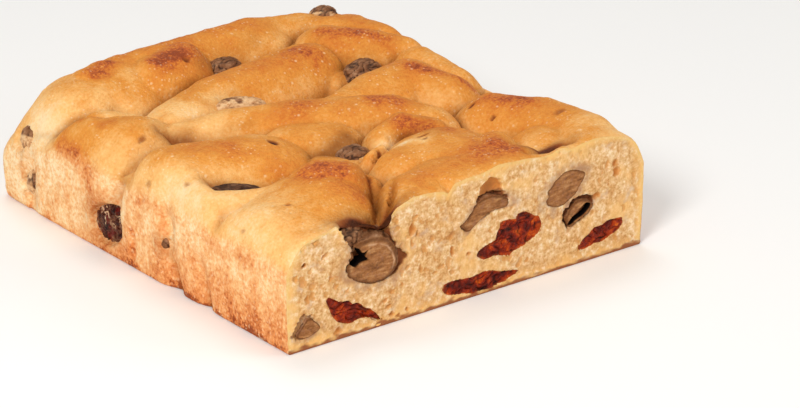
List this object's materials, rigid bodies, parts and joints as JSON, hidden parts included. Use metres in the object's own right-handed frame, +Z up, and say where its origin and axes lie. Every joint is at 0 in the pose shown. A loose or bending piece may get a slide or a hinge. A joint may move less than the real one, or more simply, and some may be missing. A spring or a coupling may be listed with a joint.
{
  "type": "tomato and olive focaccia loaf",
  "caption": "Thick slab of dimpled flatbread with olives and dried tomatoes, cut straight across so that its crumb shows.",
  "frame": {"origin": "middle of the loaf's rectangular footprint, on the plane it rests on", "axes": "+Z up; +Y along the loaf's length, from the cut face towards the baked back end; +X across its width, to the right when the cut face is looked at"},
  "size_m": [0.15, 0.173, 0.0474],
  "materials": {
    "bread": "golden baked crust, satin on the top, matt on the walls, with a pale open crumb at the cut",
    "olive": "brown olive flesh, wrinkled and matt where it was baked, moist where it was cut",
    "tomato": "dark red dried tomato, oily and wrinkled"
  },
  "bodies": {
    "root": {"bread": "bread", "olive_back_corner": "olive", "olive_back_left": "olive", "olive_back_right": "olive", "olive_behind_ring": "olive", "olive_cut_crescent": "olive", "olive_cut_hollow": "olive", "olive_cut_low": "olive", "olive_cut_oval": "olive", "olive_cut_ring": "olive", "olive_front": "olive", "olive_in_dough": "olive", "olive_left_corner": "olive", "olive_left_dimple": "olive", "olive_left_end": "olive", "olive_left_side": "olive", "tomato_cut_base": "tomato", "tomato_cut_left": "tomato", "tomato_cut_middle": "tomato", "tomato_cut_right": "tomato", "tomato_left_side": "tomato"}
  },
  "joints": []
}
